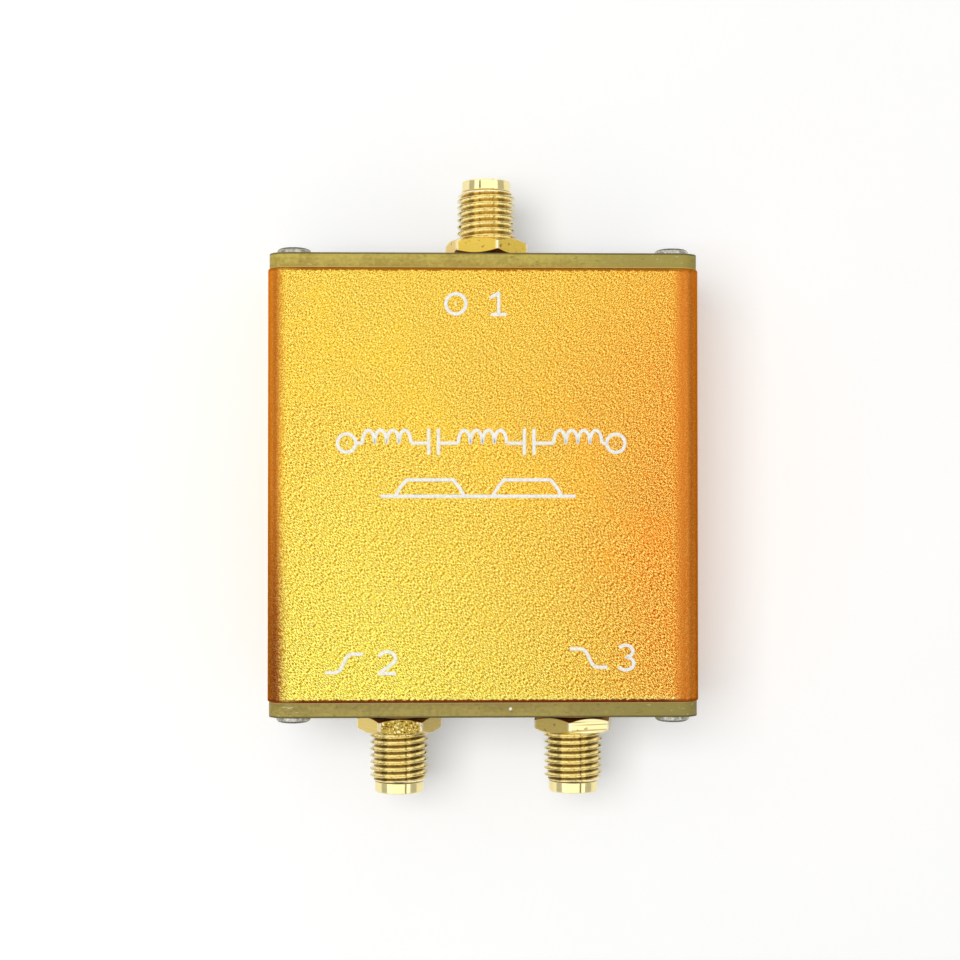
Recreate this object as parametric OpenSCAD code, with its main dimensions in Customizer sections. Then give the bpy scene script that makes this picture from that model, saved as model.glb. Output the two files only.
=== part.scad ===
// Two-band antenna filter box. An extruded case is closed by a board-material plate at each
// end, one threaded coaxial jack stands out of the rear plate and two out of the front one,
// and a filter board with air coils and chip capacitors joins the three jacks inside.
// Millimetres. +Z is up, the case lies along Y, its front is -Y, and the origin is on the
// surface that the case rests on, under the middle of the box.

/* [Case] */
// Width of the extruded case
case_w = 45; // [43:0.5:60]
// Length of the extruded case between its sawn ends
case_l = 45; // [43:1:80]
// Height of the extruded case
case_h = 18.5; // [17:0.5:26]
// Thickness of the case's walls
case_wall = 1.2; // [0.9:0.1:1.5]
// Radius of the case's long outer edges
case_edge_r = 2; // [1.5:0.1:2.6]

/* [Screw channels] */
// Distance from the case's outer faces to a screw's axis
screw_inset = 2.65; // [2.4:0.05:2.9]
// Outer radius of a screw channel
channel_r = 1.9; // [1.7:0.05:2.2]
// Width of the slit that opens a channel towards the inside
channel_slit = 0.9; // [0.6:0.1:1.2]

/* [Board rails] */
// How far a rail stands out of the side wall
rail_depth = 1.2; // [0.9:0.1:1.6]
// Thickness of a rail
rail_t = 1; // [0.7:0.1:1.3]
// Clearance between the board and its slots
slot_gap = 0.1; // [0.05:0.01:0.2]

/* [End plates] */
// Thickness of an end plate
plate_t = 1.6; // [1.2:0.1:2]
// How far a plate's outline stays inside the case's outline
plate_inset = 0.15; // [0.05:0.05:0.3]
// Clearance between a jack's thread and its hole in the plate
jack_hole_gap = 0.1; // [0.05:0.05:0.2]
// Clearance between a screw and its hole in the plate
screw_hole_gap = 0.12; // [0.05:0.01:0.2]

/* [Screws] */
// Diameter of a screw's thread
screw_d = 2; // [1.8:0.1:2.2]
// Length of a screw under its head
screw_len = 6; // [5:0.5:10]
// Length of the point at a screw's end
screw_point = 0.4; // [0.2:0.1:0.6]
// Clearance between a screw and its channel
screw_fit = 0.02; // [0.01:0.01:0.04]
// Diameter of a screw's pan head
head_d = 3.6; // [3.3:0.1:4]
// Height of a screw's pan head
head_h = 0.75; // [0.65:0.05:1.3]
// Height of the pan head's rounded edge
head_round = 0.45; // [0.3:0.05:0.6]
// Width of the pan head's rounded edge
head_crown = 1; // [0.4:0.05:1.1]
// Width of one arm of the cross recess
recess_w = 0.5; // [0.4:0.05:0.7]
// Span of the cross recess at the head's top
recess_span = 2; // [1.6:0.1:2.2]
// Depth of the cross recess
recess_depth = 0.5; // [0.3:0.05:0.6]

/* [Jack places] */
// How far the middle of the jacks lies to the right of the case's middle
jack_shift = 0.5; // [-1:0.1:1]
// Distance between the two front jacks
jack_spacing = 18.9; // [17:0.1:21]
// How far a jack's tip stands out of its plate
jack_reach = 9; // [8:0.1:11]

/* [Jack shell] */
// Major diameter of the jack's thread
thread_d = 6.35; // [6.2:0.01:6.5]
// Pitch of the thread, 36 turns to the inch
thread_pitch = 0.7056; // [0.6:0.0001:0.8]
// Depth of the thread's groove
thread_depth = 0.433; // [0.35:0.001:0.45]
// Diameter of the plain ring at the tip
tip_d = 5.3; // [5.1:0.05:5.5]
// Length of the plain ring at the tip
tip_len = 1.05; // [0.8:0.05:1.3]
// Length of the run-out between the last full crest and the plain ring
runout_len = 0.85; // [0.8:0.05:1]
// Diameter of the low crest in the run-out
runout_d = 5.8; // [5.6:0.05:5.9]
// Diameter of the open mouth
mouth_d = 4.6; // [4.5:0.02:4.7]
// Depth of the open mouth
mouth_depth = 1.9; // [1.7:0.05:2.1]
// Chamfer on the tip's edges
tip_chamfer = 0.15; // [0.1:0.05:0.2]
// Width and height of the square flange behind the plate
flange_w = 6.35; // [6:0.05:7]
// Thickness of the flange
flange_t = 2; // [1.6:0.1:2.4]
// Width and height of a leg that grips the board
leg_w = 1.02; // [0.8:0.02:1.2]
// Length of a leg over the board
leg_len = 4; // [3:0.1:4.5]

/* [Jack insides] */
// Diameter of the white insulator
insulator_d = 4.1; // [4:0.05:4.2]
// Clearance around the insulator and around the contact
press_gap = 0.02; // [0.01:0.01:0.04]
// Diameter of the centre contact
contact_d = 1.27; // [1.2:0.01:1.32]
// Diameter of the hole in the contact's end
contact_hole_d = 0.93; // [0.9:0.01:0.96]
// Depth of the hole in the contact's end
contact_hole_len = 3; // [2.6:0.1:3.4]
// Width of the slits that make the contact springy
contact_slit_w = 0.2; // [0.12:0.02:0.26]
// Length of the slits
contact_slit_len = 2.4; // [2:0.1:2.5]
// Diameter of the contact's tail on the board
tail_d = 0.9; // [0.8:0.05:1]
// Length of the contact's tail on the board
tail_len = 3; // [2.4:0.1:3.4]
// Thickness of the solder under tails and legs
solder_t = 0.02; // [0.01:0.01:0.05]

/* [Nuts and washers] */
// Width of a nut across its flats
nut_af = 8; // [7.8:0.05:8.4]
// Thickness of a nut
nut_t = 1.8; // [1.6:0.05:2.1]
// Diameter of the flat ring left by the nut's chamfers
nut_face_d = 7.6; // [7.4:0.05:7.7]
// Clearance between the nut and the shell, at the thread's middle diameter
nut_fit = 0.02; // [0.01:0.01:0.04]
// How far each nut is turned from a flat facing up, one value for each jack
nut_turn = [-16, 3, 21];
// Outer diameter of a lock washer
washer_d = 8; // [7.8:0.05:8.4]
// Inner diameter of a lock washer's ring, at the roots of its teeth
washer_root_d = 7.1; // [7:0.05:7.3]
// Thickness of a lock washer
washer_t = 0.7; // [0.5:0.05:0.8]
// Clearance between the washer's teeth and the thread
washer_gap = 0.08; // [0.05:0.01:0.12]
// Number of teeth inside a lock washer
washer_teeth = 10; // [8:1:12]
// Width of the gaps between the teeth
washer_notch_w = 1.1; // [0.8:0.05:1.3]

/* [Filter board] */
// Thickness of the board
board_t = 1.6; // [1.4:0.1:1.8]
// Gap between the board's ends and the jack flanges
board_end_gap = 0.1; // [0.05:0.05:0.3]
// Thickness of the tinned copper on the board
copper_t = 0.07; // [0.05:0.01:0.1]
// Width of a signal track
track_w = 3; // [2.4:0.1:3.2]
// Side of the solder pad under a coil's foot
pad_w = 1.4; // [1.2:0.1:1.6]
// Gap between the signal copper and the ground copper
ground_gap = 1; // [0.8:0.1:1.2]
// Bare margin between the ground copper and the board's edges
edge_margin = 1.6; // [1.3:0.1:2]
// Distance between the filter's stages along the board
stage_pitch = 9; // [8.5:0.1:9.5]

/* [Coils and capacitors] */
// Diameter of the coils' wire
wire_d = 0.8; // [0.6:0.05:0.9]
// Diameter of a coil, from middle to middle of its wire
coil_d = 3.8; // [3.2:0.1:4.2]
// Distance between neighbouring turns
coil_pitch = 1.1; // [1.05:0.05:1.2]
// Number of full turns of a coil, before its last half turn
coil_turns = 4; // [3:1:4]
// Gap between a coil's turns and the copper under them
coil_lift = 0.4; // [0.3:0.1:0.8]
// Distance from a signal track's middle to the near foot of a shunt coil
coil_land = 1.3; // [1.25:0.05:1.6]
// Length of a chip capacitor
chip_l = 3.2; // [3:0.1:3.4]
// Width of a chip capacitor
chip_w = 1.6; // [1.4:0.1:1.7]
// Height of a chip capacitor
chip_h = 0.9; // [0.7:0.1:1.3]
// Length of a chip capacitor's metal ends
chip_end = 0.5; // [0.4:0.05:0.7]
// How far the metal ends stand proud of the chip
chip_proud = 0.04; // [0.02:0.01:0.06]

/* [Hidden] */
STAGES = 3;
SHUNTS = 2;
LOW_COILS = [for (i = [1:STAGES]) str("low_pass_coil_", i)];
HIGH_COILS = [for (i = [1:SHUNTS]) str("high_pass_coil_", i)];
LOW_CAPS = [for (i = [1:SHUNTS]) str("low_pass_capacitor_", i)];
HIGH_CAPS = [for (i = [1:STAGES]) str("high_pass_capacitor_", i)];
$fn = 64;
FRONT = -1;
REAR = 1;
over = 1;                                    // how far a cutter runs past what it cuts
wire_sides = 8;
wire_steps = 16;                             // rings of the swept wire in one turn

// Each jack's place across the case, and the end that it stands out of.
jack_x = [jack_shift, jack_shift - jack_spacing / 2, jack_shift + jack_spacing / 2];
jack_end = [REAR, FRONT, FRONT];
jack_z = case_h / 2;
screw_x = case_w / 2 - screw_inset;
screw_z = [screw_inset, case_h - screw_inset];

// Along a jack, everything is measured outwards from the plate's inner face.
nut_seat = plate_t + washer_t;
nut_end = nut_seat + nut_t;
jack_tip = plate_t + jack_reach;
ring_start = jack_tip - tip_len;
crest_w = thread_pitch / 8;
flank = thread_depth * tan(30);
last_crest = ring_start - runout_len - crest_w;
thread_turns = floor((last_crest - flank - nut_end) / thread_pitch);
first_crest = last_crest - thread_turns * thread_pitch;
pitch_r = (thread_d - thread_depth) / 2 - thread_depth / 8;
insulator_end = jack_tip - mouth_depth;

// The contact's tail lies on the copper of the board, which sets the board's height.
board_top = jack_z - tail_d / 2 - solder_t - copper_t;
board_base = board_top - board_t;
pad_z = board_top + copper_t;
board_w = case_w - 2 * (case_wall + slot_gap);
board_l = case_l - 2 * (flange_t + board_end_gap);

// A coil's two feet stand half a turn apart, on opposite sides of its axis.
coil_r = coil_d / 2;
coil_span = coil_pitch * (coil_turns + 0.5);
coil_axis_h = coil_r + wire_d / 2 + coil_lift;
high_x = jack_x[1];
low_x = jack_x[2];
shunt_coil_x = high_x - coil_land - coil_span / 2;
low_patch_w = coil_d + pad_w;
ground_left = shunt_coil_x - coil_span / 2 + pad_w / 2;
ground_right = low_x + low_patch_w / 2 + ground_gap;
shunt_chip_x = ground_right - ground_gap / 2;
junction_y = stage_pitch + coil_span / 2;
function stage_y(i) = stage_pitch * (2 - i);      // i from 1 at the rear to STAGES
function shunt_y(i) = stage_pitch * (1.5 - i);    // i from 1 at the rear to SHUNTS

// A flat outline with round corners.
module round_rect(w, h, r) {
    square([w - 2 * r, h], center = true);
    square([w, h - 2 * r], center = true);
    for (x = [-1, 1], y = [-1, 1])
        translate([x * (w / 2 - r), y * (h / 2 - r)]) circle(r = r);
}

// Stands a flat X-Z outline up across the case and runs it from y0 to y1.
module across(y0, y1) {
    translate([0, y1, 0]) rotate([90, 0, 0]) linear_extrude(height = y1 - y0) children();
}

// Turns a radius-and-length profile round the outward axis of a jack or a screw.
module revolve_out() {
    rotate([-90, 0, 0]) rotate_extrude() children();
}

// Puts a piece that was drawn for the rear end, at y = 0 on the plate's inner face, in place.
module at_end(end) {
    mirror([0, end == FRONT ? 1 : 0, 0]) translate([0, case_l / 2, 0]) children();
}

module at_jack(i) {
    translate([jack_x[i - 1], 0, jack_z]) at_end(jack_end[i - 1]) children();
}

module channel_outline() {
    for (x = [-screw_x, screw_x], z = screw_z)
        translate([x, z]) circle(r = channel_r);
}

module channel_cuts() {
    for (x = [-1, 1], z = [-1, 1])
        translate([x * screw_x, case_h / 2 + z * (case_h / 2 - screw_inset)]) {
            circle(r = screw_d / 2 + screw_fit);
            rotate(atan2(-z, -x)) translate([0, -channel_slit / 2])
                square([channel_r + over, channel_slit]);
        }
}

module rail_outline() {
    slot_low = board_base - slot_gap;
    slot_high = board_top + slot_gap;
    for (x = [-1, 1], z = [slot_low - rail_t, slot_high])
        translate([x * (case_w / 2 - (case_wall + rail_depth) / 2), z + rail_t / 2])
            square([case_wall + rail_depth, rail_t], center = true);
}

// One aluminium extrusion: walls, four screw channels and a pair of rails on each side.
module case_extrusion() {
    color([0.92, 0.66, 0.18])
    across(-case_l / 2, case_l / 2)
        difference() {
            union() {
                difference() {
                    translate([0, case_h / 2]) round_rect(case_w, case_h, case_edge_r);
                    translate([0, case_h / 2])
                        square([case_w - 2 * case_wall, case_h - 2 * case_wall], center = true);
                }
                channel_outline();
                rail_outline();
            }
            channel_cuts();
        }
}

// A plate of board material with a hole for each of its jacks and four screw holes.
module end_plate(end) {
    color([0.66, 0.6, 0.36])
    at_end(end) across(0, plate_t)
        difference() {
            translate([0, case_h / 2])
                round_rect(case_w - 2 * plate_inset, case_h - 2 * plate_inset,
                           case_edge_r - plate_inset);
            for (i = [0:2])
                if (jack_end[i] == end)
                    translate([jack_x[i], jack_z]) circle(r = thread_d / 2 + jack_hole_gap);
            for (x = [-screw_x, screw_x], z = screw_z)
                translate([x, z]) circle(r = screw_d / 2 + screw_hole_gap);
        }
}

module screw_profile() {
    head_r = head_d / 2;
    steps = 6;
    polygon(concat(
        [[0, -screw_len], [screw_d / 2 - screw_point / 2, -screw_len],
         [screw_d / 2, screw_point - screw_len], [screw_d / 2, 0], [head_r, 0]],
        [for (k = [0:steps]) let (a = 90 * k / steps)
            [head_r - head_crown * (1 - cos(a)), head_h - head_round * (1 - sin(a))]],
        [[0, head_h]]));
}

module recess_arm() {
    wide = recess_span / 2;
    narrow = recess_w / 2;
    translate([0, head_h, 0]) translate([0, 0, -recess_w / 2]) linear_extrude(height = recess_w)
        polygon([[-wide, over], [wide, over], [wide, 0], [narrow, -recess_depth],
                 [-narrow, -recess_depth], [-wide, 0]]);
}

// Four pan-head screws with cross recesses, each along its channel.
module plate_screws(end) {
    color([0.78, 0.78, 0.76])
    at_end(end)
        for (x = [-screw_x, screw_x], z = screw_z)
            translate([x, plate_t, z])
                difference() {
                    revolve_out() screw_profile();
                    for (a = [0, 90]) rotate([0, a, 0]) recess_arm();
                }
}

// The shell's barrel: plain under the nut, sharp thread rings, run-out and plain tip ring.
module barrel_profile() {
    top_r = thread_d / 2;
    root_r = top_r - thread_depth;
    bore_r = insulator_d / 2 + press_gap;
    low_r = runout_d / 2;
    low_rise = (low_r - root_r) * tan(30);
    root_end = last_crest + thread_pitch - flank;
    low_end = ring_start - (low_r - tip_d / 2);
    polygon(concat(
        [[bore_r, -flange_t], [pitch_r, -flange_t], [pitch_r, nut_end],
         [root_r, nut_end], [root_r, first_crest - flank]],
        [for (k = [0:thread_turns]) let (c = first_crest + k * thread_pitch)
            each [[top_r, c], [top_r, c + crest_w], [root_r, c + crest_w + flank],
                  [root_r, c + thread_pitch - flank]]],
        [[low_r, root_end + low_rise], [low_r, low_end], [tip_d / 2, ring_start],
         [tip_d / 2, jack_tip - tip_chamfer], [tip_d / 2 - tip_chamfer, jack_tip],
         [mouth_d / 2 + tip_chamfer, jack_tip], [mouth_d / 2, jack_tip - tip_chamfer],
         [mouth_d / 2, insulator_end], [bore_r, insulator_end]]));
}

// Turned and milled brass in one piece: barrel, square flange and four legs for the board.
module jack_shell(i) {
    bore_r = insulator_d / 2 + press_gap;
    leg_x = (flange_w - leg_w) / 2;
    leg_z = [pad_z + solder_t - jack_z, board_base - solder_t - leg_w - jack_z];
    color([0.85, 0.7, 0.32])
    at_jack(i) {
        revolve_out() barrel_profile();
        difference() {
            translate([-flange_w / 2, -flange_t, -flange_w / 2])
                cube([flange_w, flange_t, flange_w]);
            rotate([90, 0, 0]) translate([0, 0, -over])
                cylinder(r = (bore_r + pitch_r) / 2, h = flange_t + 2 * over);
        }
        for (x = [-leg_x, leg_x], z = leg_z)
            translate([x - leg_w / 2, -flange_t - leg_len, z])
                cube([leg_w, leg_len + flange_t / 2, leg_w]);
    }
}

// White plastic sleeve that holds the contact in the shell.
module jack_insulator(i) {
    color([0.94, 0.94, 0.92])
    at_jack(i) revolve_out()
        translate([contact_d / 2 + press_gap, -flange_t])
            square([(insulator_d - contact_d) / 2 - press_gap, insulator_end + flange_t]);
}

// Centre contact: a slit socket at the mouth and a thinner tail on the board.
module jack_contact(i) {
    hole_start = insulator_end - contact_hole_len;
    color([0.88, 0.72, 0.3])
    at_jack(i)
        difference() {
            revolve_out()
                polygon([[0, -flange_t - tail_len], [tail_d / 2, -flange_t - tail_len],
                         [tail_d / 2, -flange_t], [contact_d / 2, -flange_t],
                         [contact_d / 2, insulator_end], [contact_hole_d / 2, insulator_end],
                         [contact_hole_d / 2, hole_start], [0, hole_start]]);
            for (a = [45, 135]) rotate([0, a, 0])
                translate([-contact_d, insulator_end - contact_slit_len, -contact_slit_w / 2])
                    cube([2 * contact_d, contact_slit_len + over, contact_slit_w]);
        }
}

// Hexagon nut with both faces chamfered, bored to the middle of the thread's flanks.
module jack_nut(i) {
    corner_r = nut_af / 2 / cos(30);
    chamfer = (corner_r - nut_face_d / 2) * tan(30);
    bore_r = pitch_r + nut_fit;
    mouth_r = thread_d / 2;
    lead = mouth_r - bore_r;
    color([0.88, 0.74, 0.38])
    at_jack(i) translate([0, nut_seat, 0]) rotate([0, nut_turn[i - 1], 0])
        intersection() {
            rotate([-90, 0, 0]) cylinder(r = corner_r, h = nut_t, $fn = 6);
            revolve_out()
                polygon([[mouth_r, 0], [nut_face_d / 2, 0], [corner_r, chamfer],
                         [corner_r + over, chamfer], [corner_r + over, nut_t - chamfer],
                         [corner_r, nut_t - chamfer], [nut_face_d / 2, nut_t],
                         [mouth_r, nut_t], [bore_r, nut_t - lead], [bore_r, lead]]);
        }
}

// Spring ring with teeth on its inside, squeezed between the nut and the plate.
module jack_lock_washer(i) {
    color([0.82, 0.68, 0.34])
    at_jack(i) across(plate_t, nut_seat)
        difference() {
            circle(r = washer_d / 2);
            circle(r = thread_d / 2 + washer_gap);
            for (k = [0:washer_teeth - 1])
                rotate(360 * k / washer_teeth) translate([0, -washer_notch_w / 2])
                    square([washer_root_d / 2, washer_notch_w]);
        }
}

// A rectangle of copper on the board, between two corners.
module copper(x0, y0, x1, y1) {
    translate([x0, y0, board_top - board_t / 2])
        cube([x1 - x0, y1 - y0, board_t / 2 + copper_t]);
}

module pad(x, y, w, l) {
    copper(x - w / 2, y - l / 2, x + w / 2, y + l / 2);
}

// Track from a jack's tail to the filter, and the pads under that jack's upper legs.
module jack_landing(i, y_end) {
    board_end = board_l / 2;
    margin = leg_w / 4;
    leg_x = (flange_w - leg_w) / 2;
    side = jack_end[i - 1];
    track_y = [side * board_end, side * y_end];
    copper(jack_x[i - 1] - track_w / 2, min(track_y), jack_x[i - 1] + track_w / 2, max(track_y));
    for (x = [-leg_x, leg_x])
        pad(jack_x[i - 1] + x, side * (board_end - leg_len / 2), leg_w + 2 * margin, leg_len);
}

module high_pass_copper() {
    reach = chip_l / 2 - chip_end - pad_w / 4;
    copper(high_x - track_w / 2, stage_y(1) + reach, high_x + track_w / 2, junction_y);
    for (i = [1:SHUNTS])
        copper(high_x - track_w / 2, stage_y(i + 1) + reach,
               high_x + track_w / 2, stage_y(i) - reach);
    for (i = [1:SHUNTS], s = [-1, 1])
        pad(shunt_coil_x + s * coil_span / 2, shunt_y(i) - s * coil_r, pad_w, pad_w);
}

module low_pass_copper() {
    half = low_patch_w / 2;
    reach = (coil_span - pad_w) / 2;
    for (i = [1:SHUNTS])
        copper(low_x - half, stage_y(i + 1) + reach, low_x + half, stage_y(i) - reach);
    copper(low_x - half, stage_y(STAGES) - reach - pad_w, low_x + half, stage_y(STAGES) - reach);
}

module ground_copper() {
    edge_x = board_w / 2 - edge_margin;
    edge_y = board_l / 2 - edge_margin;
    copper(-edge_x, -edge_y, ground_left, edge_y);
    copper(ground_right, -edge_y, edge_x, edge_y);
    copper(high_x + track_w / 2 + ground_gap, -edge_y,
           low_x - low_patch_w / 2 - ground_gap, junction_y - track_w / 2 - ground_gap);
}

// Laminate board with its tinned copper: a T from the rear jack feeds the two filters.
module circuit_board() {
    reach = chip_l / 2 - chip_end - pad_w / 4;
    color([0.13, 0.42, 0.24]) {
        translate([-board_w / 2, -board_l / 2, board_base]) cube([board_w, board_l, board_t]);
        copper(high_x - track_w / 2, junction_y - track_w / 2,
               low_x + low_patch_w / 2, junction_y + track_w / 2);
        jack_landing(1, junction_y);
        jack_landing(2, -(stage_y(STAGES) - reach));
        jack_landing(3, -(stage_y(STAGES) - coil_span / 2));
        high_pass_copper();
        low_pass_copper();
        ground_copper();
    }
}

// The wire's middle line: a straight foot, the turns, and the other straight foot.
function coil_path() = let (steps = wire_steps * (coil_turns + 0.5)) concat(
    [[-coil_span / 2, coil_r, 0], [-coil_span / 2, coil_r, coil_axis_h / 2]],
    [for (k = [0:steps]) let (a = 360 * k / wire_steps)
        [coil_span * (k / steps - 0.5), coil_r * cos(a), coil_axis_h + coil_r * sin(a)]],
    [[coil_span / 2, -coil_r, coil_axis_h / 2], [coil_span / 2, -coil_r, 0]]);

function unit(v) = v / norm(v);

// Direction of the wire at a point of its path; both feet end exactly upright.
function heading(path, k) =
    k == 0 ? [0, 0, 1] :
    k == len(path) - 1 ? [0, 0, -1] :
    unit(path[k + 1] - path[k - 1]);

function wire_ring(path, k) = let (t = heading(path, k),
        u = unit([1, 0, 0] - t[0] * t), v = cross(t, u)) [
    for (j = [0:wire_sides - 1]) let (a = 360 * j / wire_sides)
        path[k] + wire_d / 2 * (cos(a) * u + sin(a) * v)];

module swept_wire(path) {
    n = len(path);
    points = [for (k = [0:n - 1]) each wire_ring(path, k)];
    sides = [for (k = [0:n - 2], j = [0:wire_sides - 1]) let (
            a = k * wire_sides + j, b = k * wire_sides + (j + 1) % wire_sides)
        [a, a + wire_sides, b + wire_sides, b]];
    first = [for (j = [0:wire_sides - 1]) j];
    last = [for (j = [wire_sides - 1:-1:0]) (n - 1) * wire_sides + j];
    polyhedron(points = points, faces = concat([first], sides, [last]), convexity = 8);
}

// Air coil of bare wire, standing on its two feet.
module air_coil(x, y, turn) {
    color([0.78, 0.46, 0.28])
    translate([x, y, pad_z]) rotate([0, 0, turn]) swept_wire(coil_path());
}

module low_pass_coil(i) {
    air_coil(low_x, stage_y(i), 90);
}

module high_pass_coil(i) {
    air_coil(shunt_coil_x, shunt_y(i), 0);
}

// Fired ceramic chip with a metal cap on each end.
module chip_capacitor(x, y, turn) {
    cap_w = chip_w + 2 * chip_proud;
    color([0.72, 0.62, 0.48])
    translate([x, y, pad_z]) rotate([0, 0, turn]) {
        translate([-chip_l / 2 + chip_proud, -chip_w / 2, chip_proud])
            cube([chip_l - 2 * chip_proud, chip_w, chip_h]);
        for (s = [0, 1])
            translate([s == 0 ? -chip_l / 2 : chip_l / 2 - chip_end, -cap_w / 2, 0])
                cube([chip_end, cap_w, chip_h + 2 * chip_proud]);
    }
}

module low_pass_capacitor(i) {
    chip_capacitor(shunt_chip_x, shunt_y(i), 0);
}

module high_pass_capacitor(i) {
    chip_capacitor(high_x, stage_y(i), 90);
}

case_extrusion();
end_plate(FRONT);  // front_end_plate
end_plate(REAR);  // rear_end_plate
plate_screws(FRONT);  // front_plate_screws
plate_screws(REAR);  // rear_plate_screws
circuit_board();
for (i = [1:3]) {
    jack_shell(i);
    jack_insulator(i);
    jack_contact(i);
    jack_nut(i);
    jack_lock_washer(i);
}
for (i = [1:STAGES]) {
    low_pass_coil(i);
    high_pass_capacitor(i);
}
for (i = [1:SHUNTS]) {
    high_pass_coil(i);
    low_pass_capacitor(i);
}
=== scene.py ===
import math

import bmesh
import bpy
from mathutils import Matrix, Vector
from mathutils.geometry import tessellate_polygon


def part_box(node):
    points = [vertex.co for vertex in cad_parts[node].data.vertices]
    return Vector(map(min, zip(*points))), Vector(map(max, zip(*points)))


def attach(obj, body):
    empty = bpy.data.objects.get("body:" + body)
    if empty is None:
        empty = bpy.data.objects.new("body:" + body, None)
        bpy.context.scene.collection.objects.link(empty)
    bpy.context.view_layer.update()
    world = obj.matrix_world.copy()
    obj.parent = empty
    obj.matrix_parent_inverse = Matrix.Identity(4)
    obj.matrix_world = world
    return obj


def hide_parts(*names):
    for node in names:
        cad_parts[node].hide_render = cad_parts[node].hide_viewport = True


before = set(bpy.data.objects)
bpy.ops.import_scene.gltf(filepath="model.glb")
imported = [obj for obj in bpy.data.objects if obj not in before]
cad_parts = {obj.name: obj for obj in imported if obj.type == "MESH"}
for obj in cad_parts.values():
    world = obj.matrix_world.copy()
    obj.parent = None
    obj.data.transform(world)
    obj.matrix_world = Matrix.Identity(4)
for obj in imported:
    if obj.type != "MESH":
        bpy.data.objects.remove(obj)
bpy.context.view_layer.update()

# Camera, lamps and table. The box lies on a white table and is seen from straight above, from
# about 20 cm. The lens and the place come from the edges of the case, plates and jacks.
MM = 0.001
IMAGE_PX = 960
FOCAL_PX = 1707.363
SENSOR_MM = 36
CAMERA_PLACE = Vector((-4.764, -2.055, 195.218)) * MM
CAMERA_TURN = (-0.824, 1.412, -0.008)

camera_data = bpy.data.cameras.new("overhead_camera")
camera_data.sensor_width = SENSOR_MM
camera_data.lens = FOCAL_PX / IMAGE_PX * SENSOR_MM
camera_data.clip_start = 0.005
camera = bpy.data.objects.new("overhead_camera", camera_data)
bpy.context.scene.collection.objects.link(camera)
turn = Matrix.Identity(3)
for angle, axis in zip(CAMERA_TURN, "XYZ"):
    turn = Matrix.Rotation(math.radians(angle), 3, axis) @ turn
camera.matrix_world = Matrix.Translation(CAMERA_PLACE) @ turn.transposed().to_4x4()
bpy.context.scene.camera = camera
bpy.context.scene.view_settings.view_transform = "Standard"


def linear(red, green, blue):
    """A screen colour, 0 to 255, as the linear colour that a socket takes."""
    parts = [value / 255 for value in (red, green, blue)]
    parts = [p / 12.92 if p <= 0.04045 else ((p + 0.055) / 1.055) ** 2.4 for p in parts]
    return (*parts, 1)


class Signal:
    """One output in a tree of nodes. Operators on it add Math nodes to the tree."""

    def __init__(self, tree, socket=None):
        self.tree = tree
        self.socket = socket

    def node(self, kind, settings=None, feeds=None, out=0):
        made = self.tree.nodes.new(kind)
        for name, value in (settings or {}).items():
            if name == "stops":
                stops = made.color_ramp.elements
                while len(stops) < len(value):
                    stops.new(0.5)
                for stop, (place, colour) in zip(stops, value):
                    stop.position = place
                    stop.color = colour
            else:
                setattr(made, name, value)
        for name, value in (feeds or {}).items():
            if isinstance(value, Signal):
                self.tree.links.new(value.socket, made.inputs[name])
            else:
                made.inputs[name].default_value = value
        return Signal(self.tree, made.outputs[out])

    def math(self, operation, *values):
        return self.node("ShaderNodeMath", {"operation": operation}, dict(enumerate(values)))

    def __add__(self, other):
        return self.math("ADD", self, other)

    def __radd__(self, other):
        return self.math("ADD", other, self)

    def __sub__(self, other):
        return self.math("SUBTRACT", self, other)

    def __rsub__(self, other):
        return self.math("SUBTRACT", other, self)

    def __mul__(self, other):
        return self.math("MULTIPLY", self, other)

    def __rmul__(self, other):
        return self.math("MULTIPLY", other, self)

    def __truediv__(self, other):
        return self.math("DIVIDE", self, other)

    def __abs__(self):
        return self.math("ABSOLUTE", self)

    def over(self, low, high):
        """0 below low, 1 above high and smooth between them."""
        return self.node("ShaderNodeMapRange", {"interpolation_type": "SMOOTHSTEP"},
                         {"Value": self, "From Min": low, "From Max": high})

    def mix(self, first, second):
        """The first colour where this is 0, and the second where it is 1."""
        return self.node("ShaderNodeMix", {"data_type": "RGBA"}, {0: self, 6: first, 7: second}, 2)

    def into(self, shader, name):
        self.tree.links.new(self.socket, shader.inputs[name])

    def part(self, axis):
        return self.node("ShaderNodeSeparateXYZ", feeds={0: self}, out=axis)

    def stretched(self, x, y, z):
        return self.node("ShaderNodeVectorMath", {"operation": "MULTIPLY"}, {0: self, 1: (x, y, z)})

    def noise(self, scale, detail=2, roughness=0.5):
        return self.node("ShaderNodeTexNoise", {}, {"Vector": self, "Scale": scale,
                                                    "Detail": detail, "Roughness": roughness})

    def bump(self, distance, strength=1.0):
        return self.node("ShaderNodeBump", {}, {"Height": self, "Distance": distance,
                                                "Strength": strength})


def new_finish(name, **constants):
    """A material, its shader and the place on the object that its pattern follows."""
    material = bpy.data.materials.new(name)
    material.use_nodes = True
    shader = material.node_tree.nodes["Principled BSDF"]
    for socket, value in constants.items():
        shader.inputs[socket.replace("_", " ")].default_value = value
    place = Signal(material.node_tree).node("ShaderNodeTexCoord", out="Object")
    return material, shader, place


def link_piece(name, mesh):
    piece = bpy.data.objects.new(name, mesh)
    bpy.context.scene.collection.objects.link(piece)
    return piece


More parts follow.
